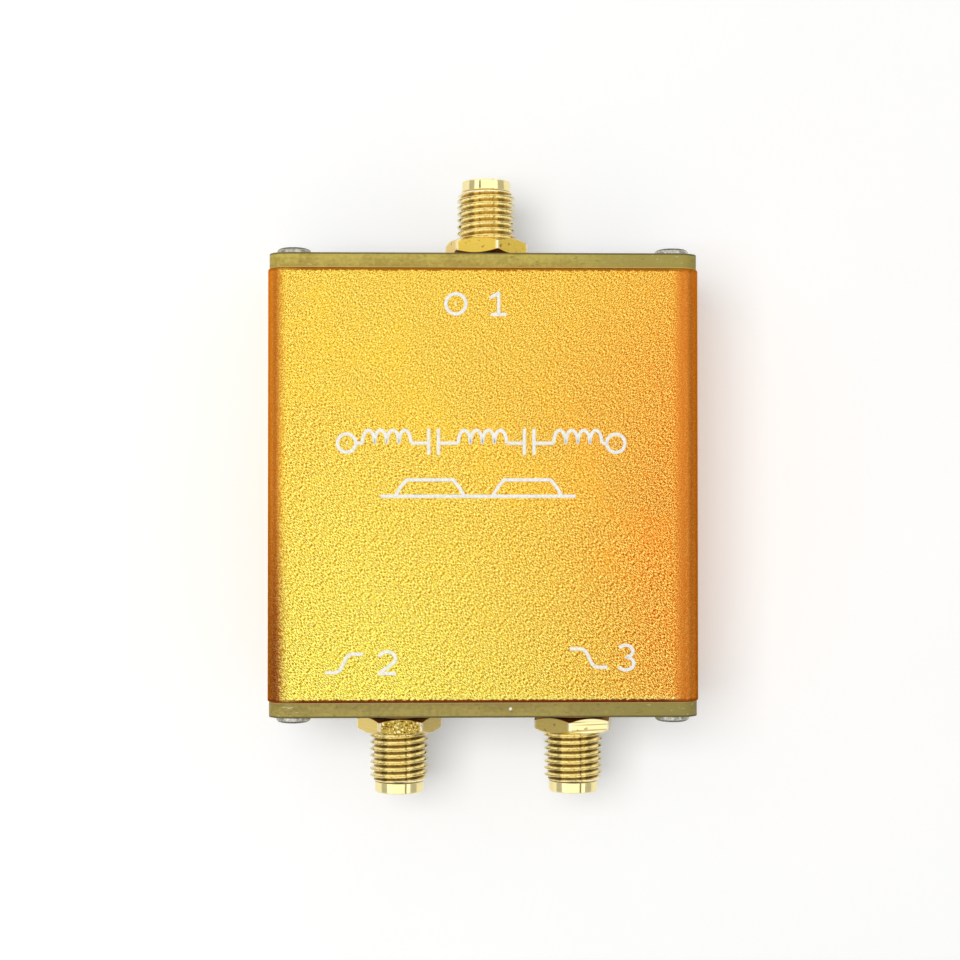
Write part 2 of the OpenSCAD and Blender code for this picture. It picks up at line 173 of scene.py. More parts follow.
FLOOR_HALF = 4
FLOOR_DROP = 0.00004
floor_mesh = bpy.data.meshes.new("table_top")
floor_mesh.from_pydata([(x * FLOOR_HALF, y * FLOOR_HALF, -FLOOR_DROP)
                        for x, y in ((-1, -1), (1, -1), (1, 1), (-1, 1))], [], [(0, 1, 2, 3)])
floor = link_piece("table_top", floor_mesh)
table_white, shader, place = new_finish("table_white", Roughness=0.7)
place.noise(30, 3).over(0.2, 0.8).mix((0.88, 0.88, 0.87, 1), (0.9, 0.9, 0.89, 1)).into(shader, "Base Color")
shader.inputs["Emission Strength"].default_value = 1
sees = [place.node("ShaderNodeLightPath", out=ray)
        for ray in ("Is Camera Ray", "Is Glossy Ray", "Is Transmission Ray")]
reach = place.node("ShaderNodeVectorMath", {"operation": "LENGTH"}, {0: place}, "Value")
lift = (sees[0] + sees[1] + sees[2]) * 0.2 + sees[0] * reach.over(0.15, 1.6) * 0.8
lift.mix((0, 0, 0, 1), (1, 1, 1, 1)).into(shader, "Emission Color")
floor.data.materials.append(table_white)

ROOM_LIGHT = 0.4
WALLS_SEEN = 0.55
LONG_WALLS_SEEN = 1.4
CEILING_SEEN = 0.15
world = bpy.data.worlds.new("pale_room")
world.use_nodes = True
bpy.context.scene.world = world
sky = world.node_tree.nodes["Background"]
sky.inputs["Color"].default_value = (1, 1, 1, 1)
sees = [Signal(world.node_tree).node("ShaderNodeLightPath", out=ray)
        for ray in ("Is Camera Ray", "Is Glossy Ray", "Is Transmission Ray")]
toward = sees[0].node("ShaderNodeTexCoord", out="Generated")
front = toward.part(1)
up = toward.part(2)
walls = WALLS_SEEN + (LONG_WALLS_SEEN - WALLS_SEEN) * abs(front).over(0.3, 0.8)
walls = walls * (1 - 0.8 * (front * -1).over(0.4, 0.8) * (1 - up.over(0.1, 0.3)))
room = walls + (CEILING_SEEN - walls) * up.over(0.55, 0.85)
(ROOM_LIGHT + sees[0] * (1 - ROOM_LIGHT) + (sees[1] + sees[2]) * (room - ROOM_LIGHT)).into(sky, "Strength")


def light_panel(name, low, high, height, level):
    """A soft panel that faces down. level is how bright the panel itself is."""
    lamp = bpy.data.lights.new(name, "AREA")
    lamp.shape = "RECTANGLE"
    lamp.size = high[0] - low[0]
    lamp.size_y = high[1] - low[1]
    lamp.energy = level * math.pi * lamp.size * lamp.size_y
    panel = bpy.data.objects.new(name, lamp)
    panel.location = ((low[0] + high[0]) / 2, (low[1] + high[1]) / 2, height)
    bpy.context.scene.collection.objects.link(panel)
    return panel


PANEL_HEIGHT = 0.6
light_panel("key_panel", (-0.36, -0.12), (0.0, 0.20), PANEL_HEIGHT + 0.02, 6.6).visible_glossy = False
light_panel("mirrored_panel", (-0.95, -0.45), (0.80, 0.50), PANEL_HEIGHT, 1.18).visible_diffuse = False

# Dark bars beside the lens show only in what mirrors them, as the thin line along each jack.
BAR_HEIGHT = PANEL_HEIGHT - 0.02
BAR_RUNS = (((0.35, -0.02), (0.35, -0.30)), ((0.35, -0.30), (0.57, -1.30)), ((0.37, 0.34), (0.57, 1.30)),
            ((-0.35, 0.30), (-0.35, 0.02)))
BAR_HALF = 0.05
points = []
for start, end in BAR_RUNS:
    points += [(x + edge * BAR_HALF, y, BAR_HEIGHT) for edge in (-1, 1) for x, y in (start, end)]
bar_mesh = bpy.data.meshes.new("dark_bars")
bar_mesh.from_pydata(points, [], [(4 * k, 4 * k + 1, 4 * k + 3, 4 * k + 2) for k in range(len(BAR_RUNS))])
bar = link_piece("dark_bars", bar_mesh)
bar_black, shader, place = new_finish("bar_black", Roughness=0.9)
place.noise(20).mix((0.01, 0.01, 0.01, 1), (0.02, 0.02, 0.02, 1)).into(shader, "Base Color")
bar.data.materials.append(bar_black)
bar.visible_camera = False
bar.visible_diffuse = False
bar.visible_shadow = False

# Case: one length of extruded aluminium, 45 mm long, with rounded long edges, screw channels and
# board rails. It is sawn to length, its edges are broken, and it is blasted and anodised gold.
CASE_W = 45.0
CASE_H = 18.5
CASE_END = 22.5
CASE_EDGE_R = 2.0
CASE_BREAK = 0.13
CORNER_STEPS = 14


def rounded_outline(half_width, low, high, radius, steps):
    """The points of a rectangle with round corners, in x and z, all round once."""
    points = []
    for i, (sx, z) in enumerate(((1, low), (1, high), (-1, high), (-1, low))):
        x = sx * (half_width - radius)
        z += radius if z == low else -radius
        for k in range(steps + 1):
            a = math.radians(-90 + 90 * i + 90 * k / steps)
            points.append((x + radius * math.cos(a), z + radius * math.sin(a)))
    return points


def merged_copy(node):
    """A working copy of a CAD node's mesh with its loose triangles joined."""
    work = bmesh.new()
    work.from_mesh(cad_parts[node].data)
    bmesh.ops.remove_doubles(work, verts=work.verts, dist=1e-6)
    return work


def end_loops(node, y):
    """The closed outlines of the node's flat end at that y, as lists of points in mm."""
    work = merged_copy(node)
    ends = {f for f in work.faces if abs(f.normal.y) > 0.99 and abs(f.calc_center_median().y - y) < 1e-5}
    after = {}
    for face in ends:
        for loop in face.loops:
            if len([f for f in loop.edge.link_faces if f in ends]) == 1:
                after[loop.vert.index] = loop.link_loop_next.vert.index
    work.verts.ensure_lookup_table()
    loops = []
    while after:
        start, index = after.popitem()
        line = [start]
        while index != start:
            line.append(index)
            index = after.pop(index)
        loops.append([(work.verts[i].co.x / MM, work.verts[i].co.z / MM) for i in line])
    work.free()
    return sorted(loops, key=lambda line: -max(p[0] for p in line))


def solid_mesh(name, points, faces, sharp_angle=35, keep_smooth=None):
    """A closed mesh from points in mm, faces outwards, smooth apart from its sharp edges."""
    work = bmesh.new()
    verts = [work.verts.new(Vector(p) * MM) for p in points]
    for face in faces:
        work.faces.new([verts[i] for i in face])
    bmesh.ops.recalc_face_normals(work, faces=work.faces)
    for face in work.faces:
        face.smooth = True
    for edge in work.edges:
        bent = edge.is_manifold and edge.calc_face_angle(0) > math.radians(sharp_angle)
        if bent and not (keep_smooth and keep_smooth(edge)):
            edge.smooth = False
    mesh = bpy.data.meshes.new(name)
    work.to_mesh(mesh)
    work.free()
    return mesh


def ring_faces(first, second):
    """Quads between two rings of point numbers."""
    count = len(first)
    return [(first[k], first[(k + 1) % count], second[(k + 1) % count], second[k]) for k in range(count)]


points = []
faces = []
rings = []
profile = [(-CASE_END, CASE_BREAK), (-CASE_END + 0.03, 0.055), (-CASE_END + 0.065, 0.02),
           (-CASE_END + CASE_BREAK, 0)]
profile += [(-y, inset) for y, inset in reversed(profile)]
for y, inset in profile:
    outline = rounded_outline(CASE_W / 2 - inset, inset, CASE_H - inset, CASE_EDGE_R - inset, CORNER_STEPS)
    rings.append(range(len(points), len(points) + len(outline)))
    points += [(x, y, z) for x, z in outline]
for first, second in zip(rings, rings[1:]):
    faces += ring_faces(first, second)
inner = end_loops("case_extrusion", -CASE_END * MM)[1]
inner_rings = []
for y in (-CASE_END, CASE_END):
    inner_rings.append(range(len(points), len(points) + len(inner)))
    points += [(x, y, z) for x, z in inner]
faces += ring_faces(*inner_rings)
for outer_ring, inner_ring in ((rings[0], inner_rings[0]), (rings[-1], inner_rings[1])):
    flat = [[Vector((points[i][0], points[i][2], 0)) for i in ring] for ring in (outer_ring, inner_ring)]
    numbers = list(outer_ring) + list(inner_ring)
    faces += [tuple(numbers[i] for i in triangle) for triangle in tessellate_polygon(flat)]
case = link_piece("case_body", solid_mesh("case_body", points, faces))

blasted_gold, shader, place = new_finish("blasted_gold", Metallic=1.0, Specular_Tint=(1.0, 0.6, 0.28, 1))
x = place.part(0)
y = place.part(1)
z = place.part(2)
across = x * 27.6 + 0.49
down = 0.486 - y * 27.6
cloud = (place.noise(130, 2) - 0.5) * 0.16
# Painted light: the base colour runs from light gold at the front left to orange towards the right, a light
# gradient painted in; cloud adds a random tone.
painted_light_gradient = 0.56 + cloud + 0.44 * down * down - (0.38 + 0.62 * down) * across * across
body = painted_light_gradient.mix(linear(236, 134, 34), linear(244, 230, 64))
# Painted shade: the rounded long edges turn darker orange, the right edge darker than the left, the left edge dark
# brown towards the front, and the outermost strip brown.
edge = (abs(x) + x.over(-0.001, 0.001) * 0.0009).over(0.0202, 0.0216)
body = edge.mix(body, linear(200, 114, 36))
painted_edge_shade = x.over(-0.001, 0.001).mix(linear(236, 138, 40), linear(200, 106, 28))
body = (abs(x).over(0.0213, 0.0223) * 0.85).mix(body, painted_edge_shade)
body = ((x * -1).over(0.0199, 0.0214) * down.over(0.4, 1.1) * 0.95).mix(body, linear(136, 54, 16))
body = (abs(x).over(0.0218, 0.0224) * (0.4 + 0.5 * down)).mix(body, linear(116, 42, 12))
low_side = 1 - z.over(0.0148, 0.0162)
body = (low_side * 0.8).mix(body, linear(232, 158, 62))
leaning = [place.node("ShaderNodeMapping", {"vector_type": "TEXTURE"}, {
    "Vector": place, "Rotation": (0, 0, math.radians(lean)), "Scale": (length, 0.5, 1)}).noise(6000, 1, 0.6)
    for lean, length in ((42, 1.2), (-42, 1.45))]
drift = (place.noise(160, 1) * 0.3 + y * 9 + x * 5 + 0.29 + edge * 0.2).over(0.42, 0.54)
blast = drift * leaning[0] + (1 - drift) * leaning[1]
amount = (1 - edge * 0.85) * (0.8 + 0.2 * down - 0.06 * across)
# Painted shade and highlight on the blasted grain: its low spots are painted dark brown as shade in the pits, its
# high spots pale as glint specks; the bump gives the real relief.
pits = 1 - blast.over(0.41, 0.5)
painted_glints = blast.over(0.5, 0.59)
painted_pit_shade = painted_light_gradient.mix(linear(150, 50, 4), linear(164, 92, 8))
body = (pits * amount).mix(body, painted_pit_shade)
painted_glint_colour = painted_light_gradient.mix(linear(255, 238, 122), linear(255, 255, 146))
body = (painted_glints * amount).mix(body, painted_glint_colour)
# Painted highlight: a cream rim along the front end of the top, brighter on the grain's glint specks.
body = ((y * -1).over(0.0216, 0.0221) * (1 - edge) * (0.15 + 0.55 * painted_glints)).mix(body, linear(255, 248, 140))
# Painted shadow: a ragged dark line at both ends of the case, the shadow in the gap against the plates, darker at
# the front end and fainter at the corners.
ragged = abs(y) + (place.noise(2600, 1) - 0.5) * 0.0004
end_gap_shadow = ragged.over(0.02217, 0.02227) * (0.95 - 0.35 * abs(x).over(0.0185, 0.0215))
end_gap_shadow_colour = y.over(-0.001, 0.001).mix(linear(106, 26, 4), linear(150, 90, 16))
body = end_gap_shadow.mix(body, end_gap_shadow_colour)
body.into(shader, "Base Color")
(0.44 - 0.1 * blast).into(shader, "Roughness")
(blast * (0.1 + 0.9 * (1 - edge))).bump(0.00008, 0.9).into(shader, "Normal")
case.data.materials.append(blasted_gold)
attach(case, "root")
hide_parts("case_extrusion")

# End plates: 1.6 mm glass-fibre laminate, routed to the case's outline, with black mask and gold
# rings round the holes on the outer face. Four screws hold each one on the case's ends.
PLATE_OUT = 24.1
JACK_Z = 9.25
JACKS = ((1, 0.5, 1), (2, -8.95, -1), (3, 9.95, -1))
SCREW_X = 19.85
SCREW_Z = (2.65, 15.85)
CHIP_PLACE = (2.75, -23.2, 18.35)


def smooth_copy(node, name, soften=0.0, sharp_angle=35):
    """A copy of a CAD node with joined faces, edges softened by that many mm, smooth curves."""
    work = merged_copy(node)
    bmesh.ops.dissolve_limit(work, angle_limit=math.radians(0.5), verts=work.verts, edges=work.edges)
    if soften:
        hard = [e for e in work.edges if e.is_manifold and e.is_convex and e.calc_face_angle(0) > 0.9]
        bmesh.ops.bevel(work, geom=hard, offset=soften * MM, segments=2, profile=0.5,
                        affect="EDGES", clamp_overlap=True)
    bmesh.ops.recalc_face_normals(work, faces=work.faces)
    for face in work.faces:
        face.smooth = True
    for edge in work.edges:
        edge.smooth = not (edge.is_manifold and edge.calc_face_angle(0) > math.radians(sharp_angle))
    mesh = bpy.data.meshes.new(name)
    work.to_mesh(mesh)
    work.free()
    piece = link_piece(name, mesh)
    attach(piece, "root")
    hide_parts(node)
    return piece


def off_axis(place, x, z):
    """How far a point of a plate or jack is from the axis through x and z, in metres."""
    flat = place.node("ShaderNodeVectorMath", {"operation": "MULTIPLY"}, {0: place, 1: (1, 0, 1)})
    return place.node("ShaderNodeVectorMath", {"operation": "DISTANCE"},
                      {0: flat, 1: (x * MM, 0, z * MM)}, "Value")


def laminate(name, edge_light, edge_dark, edge_right, burr, side):
    """Board material: glass layers at the cut edge, black mask and gold rings on the face."""
    material, shader, place = new_finish(name)
    x = place.part(0)
    y = abs(place.part(1))
    layers = place.stretched(200, 4200, 200).noise(1, 2)
    mottle = place.noise(2400, 2) * 0.55 + place.noise(420, 2) * 0.45
    fibres = place.stretched(1500, 3800, 1500).noise(1, 1)
    routed = place.stretched(2200, 500, 2200).noise(1, 2)
    ends = abs(x).over(0.014, 0.021)
    body = (layers * 0.2 + mottle * 0.8 + (y - 0.0233) * 120).over(0.36, 0.64).mix(edge_dark, edge_light)
    body = (x.over(0.004, 0.017) * 0.85).mix(body, edge_right)
    body = (fibres.over(0.66, 0.74) * (0.1 + 0.6 * ends)).mix(body, linear(204, 198, 160))
    body = ((1 - fibres.over(0.26, 0.36)) * 0.5).mix(body, linear(104, 92, 42))
    body = (y.over(0.02389, 0.02395) * 0.85).mix(body, linear(84, 76, 26))
    body = ((1 - y.over(0.02258, 0.02268)) * 0.8).mix(body, burr)
    chip_edge = place.noise(3000, 1) * 0.0002
    chip = 1 - (chip_edge + place.node("ShaderNodeVectorMath", {"operation": "DISTANCE"}, {
        0: place, 1: (CHIP_PLACE[0] * MM, CHIP_PLACE[1] * MM, CHIP_PLACE[2] * MM)}, "Value")).over(0.00022, 0.0003)
    body = chip.mix(body, linear(246, 244, 226))
    face = y.over(0.02405, 0.024085) + (1 - y.over(0.022515, 0.02255))
    mask = place.noise(900, 3).over(0.2, 0.8).mix(linear(17, 19, 20), linear(27, 29, 30))
    ring = 1 - off_axis(place, -SCREW_X, SCREW_Z[0]).over(0.00225, 0.0023)
    for sx, z in ((-SCREW_X, SCREW_Z[1]), (SCREW_X, SCREW_Z[0]), (SCREW_X, SCREW_Z[1])):
        ring = ring + (1 - off_axis(place, sx, z).over(0.00225, 0.0023))
    for number, jx, end in JACKS:
        if end == side:
            ring = ring + (1 - off_axis(place, jx, JACK_Z).over(0.0048, 0.00485))
    outer = ring.math("MINIMUM", ring, 1.0)
    plate_face = outer.mix(mask, linear(222, 186, 110))
    face.mix(body, plate_face).into(shader, "Base Color")
    (face * outer).into(shader, "Metallic")
    (0.62 - 0.3 * face).into(shader, "Roughness")
    (routed * (1 - face) + place.noise(2500, 2) * 0.2).bump(0.00003, 0.5).into(shader, "Normal")
    return material


front_plate = smooth_copy("front_end_plate", "front_plate", 0.05)
front_plate.data.materials.append(laminate(
    "front_laminate", linear(166, 148, 66), linear(140, 123, 54), linear(142, 128, 56), linear(184, 142, 76), -1))
rear_plate = smooth_copy("rear_end_plate", "rear_plate", 0.05)
rear_plate.data.materials.append(laminate(
    "rear_laminate", linear(194, 174, 74), linear(164, 140, 48), linear(156, 142, 62), linear(214, 174, 84), 1))

# Screws: M2 pan heads with a cross recess, cold headed and nickel plated, four in each plate.
# They run into the case's channels, and each stopped at its own turn.
HEAD_R = 1.8
HEAD_H = 0.75
HEAD_SIDE = 0.3
HEAD_FACE_R = 1.12
HEAD_FACE_H = 0.71
RECESS_DEPTH = 0.5
SHANK_R = 1.0
SHANK_LEN = 6.0
HEAD_SIDES = 60


def cross_outline(span, width):
    """The twelve corners of a cross, the tips half the span out, the arms that wide."""
    a = span / 2
    b = width / 2
    quarter = [(a, -b), (a, b), (b, b)]
    points = []
    for turn in range(4):
        c, s = (1, 0, -1, 0)[turn], (0, 1, 0, -1)[turn]
        points += [(c * u - s * v, s * u + c * v) for u, v in quarter]
    return points


def circle(radius, sides):
    return [(radius * math.cos(2 * math.pi * k / sides), radius * math.sin(2 * math.pi * k / sides))
            for k in range(sides)]


def screw_mesh(name, side):
    """One screw with its head's seat at the origin and its head towards side, along y."""
    points = []
    faces = []
    rings = []
    profile = [(-SHANK_LEN, 0.6), (-SHANK_LEN + 0.4, SHANK_R), (0, SHANK_R), (0, HEAD_R - 0.06),
               (0.05, HEAD_R), (HEAD_SIDE, HEAD_R)]
    for k in range(1, 8):
        a = math.radians(90 * k / 7)
        profile.append((HEAD_SIDE + (HEAD_FACE_H - HEAD_SIDE) * math.sin(a),
                        HEAD_FACE_R + (HEAD_R - HEAD_FACE_R) * math.cos(a)))
    for height, radius in profile:
        rings.append(range(len(points), len(points) + HEAD_SIDES))
        points += [(u, side * height, v) for u, v in circle(radius, HEAD_SIDES)]
    for first, second in zip(rings, rings[1:]):
        faces += ring_faces(first, second)
    faces.append(tuple(rings[0]))
    crosses = []
    for span, width, depth in ((2.0, 0.5, 0.0), (1.9, 0.44, 0.05), (1.3, 0.28, RECESS_DEPTH)):
        outline = cross_outline(span, width)
        crosses.append(range(len(points), len(points) + len(outline)))
        for u, v in outline:
            crown = HEAD_H - (HEAD_H - HEAD_FACE_H) * (math.hypot(u, v) / HEAD_FACE_R) ** 2
            height = crown if depth == 0 else HEAD_H - depth
            points.append((u, side * height, v))
    for first, second in zip(crosses, crosses[1:]):
        faces += ring_faces(first, second)
    faces.append(tuple(crosses[-1]))
    flat = [[Vector((points[i][0], points[i][2], 0)) for i in ring] for ring in (rings[-1], crosses[0])]
    numbers = list(rings[-1]) + list(crosses[0])
    faces += [tuple(numbers[i] for i in triangle) for triangle in tessellate_polygon(flat)]
    return solid_mesh(name, points, faces, 30)


def rule_tree(name, sizes):
    """A tree of geometry nodes with named inputs for its sizes, and those inputs by name."""
    tree = bpy.data.node_groups.new(name, "GeometryNodeTree")
    tree.interface.new_socket(name="Geometry", in_out="INPUT", socket_type="NodeSocketGeometry")
    for size in sizes:
        tree.interface.new_socket(name=size, in_out="INPUT", socket_type="NodeSocketFloat")
    tree.interface.new_socket(name="Material", in_out="INPUT", socket_type="NodeSocketMaterial")
    tree.interface.new_socket(name="Geometry", in_out="OUTPUT", socket_type="NodeSocketGeometry")
    entry = tree.nodes.new("NodeGroupInput")
    return tree, {socket.name: Signal(tree, socket) for socket in entry.outputs if socket.name}


def close_rule(made, material):
    """Ends a tree: instances made real, the material set, the result handed out."""
    real = made.node("GeometryNodeRealizeInstances", feeds={"Geometry": made})
    painted = made.node("GeometryNodeSetMaterial", feeds={"Geometry": real, "Material": material})
    leave = made.tree.nodes.new("NodeGroupOutput")
    made.tree.links.new(painted.socket, leave.inputs[0])


def follow_rule(piece, tree, values):
    """Runs the tree on the piece with these sizes and keeps the result as its mesh."""
    modifier = piece.modifiers.new(tree.name, "NODES")
    modifier.node_group = tree
    for item in tree.interface.items_tree:
        if item.in_out == "INPUT" and item.name in values:
            modifier[item.identifier] = values[item.name]
    graph = bpy.context.evaluated_depsgraph_get()
    mesh = bpy.data.meshes.new_from_object(piece.evaluated_get(graph))
    piece.modifiers.remove(modifier)
    piece.data = mesh


screw_rule, size = rule_tree("screws_in_a_plate", ("Across", "Up", "Middle Height", "Seat", "Turn Seed"))
grid = size["Across"].node("GeometryNodeMeshGrid", feeds={"Size X": size["Across"], "Size Y": size["Up"],
                                                         "Vertices X": 2, "Vertices Y": 2})
seat = grid.node("ShaderNodeCombineXYZ", feeds={1: size["Seat"], 2: size["Middle Height"]})
corners = grid.node("GeometryNodeTransform", feeds={"Geometry": grid, "Translation": seat,
                                                    "Rotation": (math.pi / 2, 0, 0)})
turns = grid.node("FunctionNodeRandomValue", {"data_type": "FLOAT"},
                  {2: 0.0, 3: math.pi / 2, "Seed": size["Turn Seed"]}, 1)
lean = grid.node("ShaderNodeCombineXYZ", feeds={1: turns})
placed = grid.node("GeometryNodeInstanceOnPoints", feeds={"Points": corners, "Instance": size["Geometry"],
                                                          "Rotation": lean})
close_rule(placed, size["Material"])

nickel, shader, place = new_finish("bright_nickel", Metallic=1.0)
scuffs = place.stretched(1, 1, 1).noise(3500, 3, 0.6)
bloom = place.noise(700, 2)
proud = abs(place.part(1)) * 1000 - PLATE_OUT
body = (scuffs * 0.6 + bloom * 0.4).over(0.36, 0.62).mix(linear(200, 198, 188), linear(150, 146, 128))
# Painted shade: a dark ring at the foot of each head, where it meets the plate.
body = ((1 - proud.over(0.08, 0.14)) * 0.95).mix(body, linear(44, 40, 26))
# Painted reflection: a dark band round the curved shoulder of the crown.
body = (proud.over(0.42, 0.52) * (1 - proud.over(0.7, 0.708)) * 0.85).mix(body, linear(52, 50, 42))
body.into(shader, "Base Color")
(0.2 + 0.16 * bloom).into(shader, "Roughness")
scuffs.bump(0.000008, 0.5).into(shader, "Normal")
for node, name, side, seed in (("front_plate_screws", "front_screws", -1, 4),
                               ("rear_plate_screws", "rear_screws", 1, 9)):
    screws = link_piece(name, screw_mesh(name, side))
    follow_rule(screws, screw_rule, {
        "Across": 2 * SCREW_X * MM, "Up": (SCREW_Z[1] - SCREW_Z[0]) * MM,
        "Middle Height": JACK_Z * MM, "Seat": side * PLATE_OUT * MM, "Turn Seed": float(seed),
        "Material": nickel})
    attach(screws, "root")
    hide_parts(node)

# Jack shells: turned and milled from one brass bar and gold plated. A square flange with four
# board legs, a shank through the plate, a 1/4-36 right-hand thread, and a plain tip with a mouth.
THREAD_R = 3.175
THREAD_PITCH = 0.7056
THREAD_DEPTH = 0.433
CREST_W = THREAD_PITCH / 8
FIRST_CREST = 4.378
THREAD_FROM = 3.72
THREAD_TO = 9.5
LEAD_FROM = 8.86
TIP_R = 2.65
TIP_END = 10.6
SHANK_RADIUS = 2.904
FLANGE_HALF = 3.175
FLANGE_T = 2.0
MOUTH_R = 2.3
MOUTH_FLOOR = 8.7
BORE_R = 2.07
ROUND_SIDES = 96
ROWS_PER_TURN = 22

thread_rule, size = rule_tree("cut_a_thread", (
    "Axis X", "Axis Z", "Side", "Base", "Pitch", "Crest Radius", "Depth", "Crest Width",
    "First Crest", "Lead From", "Lead Radius", "Lead Slope"))
here = size["Pitch"].node("GeometryNodeInputPosition")
u = here.part(0) - size["Axis X"]
v = (here.part(2) - size["Axis Z"]) * size["Side"] * -1
along_axis = here.part(1) * size["Side"] - size["Base"]
angle = here.math("ARCTAN2", v, u)
to_top = angle / (2 * math.pi) + size["Side"] * 0.25
turns = (along_axis - size["First Crest"] - size["Crest Width"] * 0.5) / size["Pitch"] - to_top
from_crest = abs(turns - here.math("ROUND", turns)) * size["Pitch"]
fall = here.math("MAXIMUM", from_crest - size["Crest Width"] * 0.5, 0.0) / math.tan(math.radians(30))
fall = here.math("MINIMUM", fall, size["Depth"])
lead = here.math("MAXIMUM", along_axis - size["Lead From"], 0.0) * size["Lead Slope"]
lead = here.math("MAXIMUM", size["Crest Radius"] - lead, size["Lead Radius"])
radius = here.math("MINIMUM", size["Crest Radius"] - fall, lead)
new_place = here.node("ShaderNodeCombineXYZ", feeds={
    0: size["Axis X"] + here.math("COSINE", angle) * radius, 1: here.part(1),
    2: size["Axis Z"] + here.math("SINE", angle) * radius * size["Side"] * -1})
chosen = here.node("GeometryNodeInputNamedAttribute", {"data_type": "BOOLEAN"}, {"Name": "threaded"})
cut = here.node("GeometryNodeSetPosition", feeds={"Geometry": size["Geometry"], "Selection": chosen,
                                                  "Position": new_place})
close_rule(cut, size["Material"])


def block(points, faces, low, high):
    """Adds a plain block with these two corners to the lists."""
    base = len(points)
    points += [(x, y, z) for x in (low[0], high[0]) for y in (low[1], high[1]) for z in (low[2], high[2])]
    faces += [tuple(base + i for i in face) for face in
              ((0, 1, 3, 2), (4, 6, 7, 5), (0, 4, 5, 1), (2, 3, 7, 6), (0, 2, 6, 4), (1, 5, 7, 3))]


def shell_blank(name, x, side):
    """The turned blank of a jack before its thread is cut, with the rows to cut marked."""
    rows = [(-FLANGE_T, BORE_R + 0.1, 0), (-FLANGE_T, FLANGE_HALF - 0.08, 1),
            (-FLANGE_T + 0.08, FLANGE_HALF, 1), (-0.08, FLANGE_HALF, 1), (0, FLANGE_HALF - 0.08, 1),
            (0, SHANK_RADIUS, 0), (THREAD_FROM - 0.05, SHANK_RADIUS, 0)]
    count = round((THREAD_TO - THREAD_FROM) / THREAD_PITCH * ROWS_PER_TURN)
    first_cut = len(rows)
    rows += [(THREAD_FROM + (THREAD_TO - THREAD_FROM) * k / count, THREAD_R, 0) for k in range(count + 1)]
    last_cut = len(rows)
    rows += [(THREAD_TO + 0.05, TIP_R, 0), (TIP_END - 0.14, TIP_R, 0)]
    rows += [(TIP_END - 0.14 + 0.14 * math.sin(a), TIP_R - 0.14 + 0.14 * math.cos(a), 0)
             for a in (math.radians(22.5 * k) for k in range(1, 5))]
    rows += [(TIP_END, MOUTH_R + 0.12, 0), (TIP_END - 0.04, MOUTH_R + 0.04, 0),
             (TIP_END - 0.14, MOUTH_R, 0), (MOUTH_FLOOR, MOUTH_R, 0), (MOUTH_FLOOR, BORE_R, 0),
             (-FLANGE_T + 0.1, BORE_R, 0)]
    points = []
    faces = []
    rings = []
    for s, radius, square in rows:
        rings.append(range(len(points), len(points) + ROUND_SIDES))
        for k in range(ROUND_SIDES):
            a = 2 * math.pi * k / ROUND_SIDES
            reach = radius
            if square:
                reach = min(radius / max(abs(math.cos(a)), abs(math.sin(a))), radius * 1.37)
            points.append((x + reach * math.cos(a), side * (CASE_END + s), JACK_Z + reach * math.sin(a)))
    for first, second in zip(rings, rings[1:] + rings[:1]):
        faces += ring_faces(first, second)
    for leg_x in (-2.665, 2.665):
        for low, high in ((8.80, 9.82), (6.07, 7.09)):
            ys = sorted((side * (CASE_END - 6), side * (CASE_END - 1.97)))
            block(points, faces, (x + leg_x - 0.51, ys[0], low), (x + leg_x + 0.51, ys[1], high))
    cut_from = side * (CASE_END + THREAD_FROM) * MM
    mesh = solid_mesh(name, points, faces, 30, lambda edge: all(
        (v.co.y - cut_from) * side > -1e-6 and v.co.y * side < (CASE_END + THREAD_TO) * MM + 1e-6
        for v in edge.verts))
    marks = mesh.attributes.new("threaded", "BOOLEAN", "POINT")
    cut = range(first_cut * ROUND_SIDES, last_cut * ROUND_SIDES)
    marks.data.foreach_set("value", [i in cut for i in range(len(mesh.vertices))])
    return mesh


def gold_plate(name, pale, deep, low_rough, high_rough, threaded=False):
    """Gold over turned brass: faint rings from the tool and a little dull bloom. On a thread, also a painted
    highlight on the flanks and painted shade in the roots.
    """
    material, shader, place = new_finish(name, Metallic=1.0)
    rings = place.stretched(120, 9000, 120).noise(1, 2)
    bloom = place.noise(500, 3)
    body = (bloom * 0.6 + rings * 0.4).over(0.3, 0.7).mix(pale, deep)
    if threaded:
        grime = place.noise(4400, 2)
        on_thread = 1 - abs(place.part(1)).over(0.03195, 0.0320)
        from_axis = [off_axis(place, jx, JACK_Z) for number, jx, end in JACKS]
        radius = from_axis[0].math("MINIMUM", from_axis[0], from_axis[1])
        radius = radius.math("MINIMUM", radius, from_axis[2])
        # Painted highlight: the thread flanks between root and crest are painted pale cream.
        flank = radius.over(0.00281, 0.00284) * (1 - radius.over(0.00312, 0.00316)) * on_thread
        body = (flank * 0.95).mix(body, linear(252, 242, 200))
        body = (grime.over(0.54, 0.68) * on_thread * 0.5).mix(body, linear(170, 128, 52))
        # Painted shade: the thread roots are painted dark brown, darker on the front jacks than on the rear one.
        root = (1 - radius.over(0.00275, 0.00279)) * on_thread
        painted_root_shade = place.part(1).over(-0.001, 0.001).mix(linear(78, 48, 12), linear(160, 118, 40))
        body = (root * 0.9).mix(body, painted_root_shade)
    if threaded:
        body = abs(place.part(1)).over(0.03195, 0.0321).mix(body, linear(246, 230, 168))
    body.into(shader, "Base Color")
    (low_rough + (high_rough - low_rough) * bloom).into(shader, "Roughness")
    (rings * 0.7 + place.noise(4000, 2) * 0.3).bump(0.000006, 0.6).into(shader, "Normal")
    return material


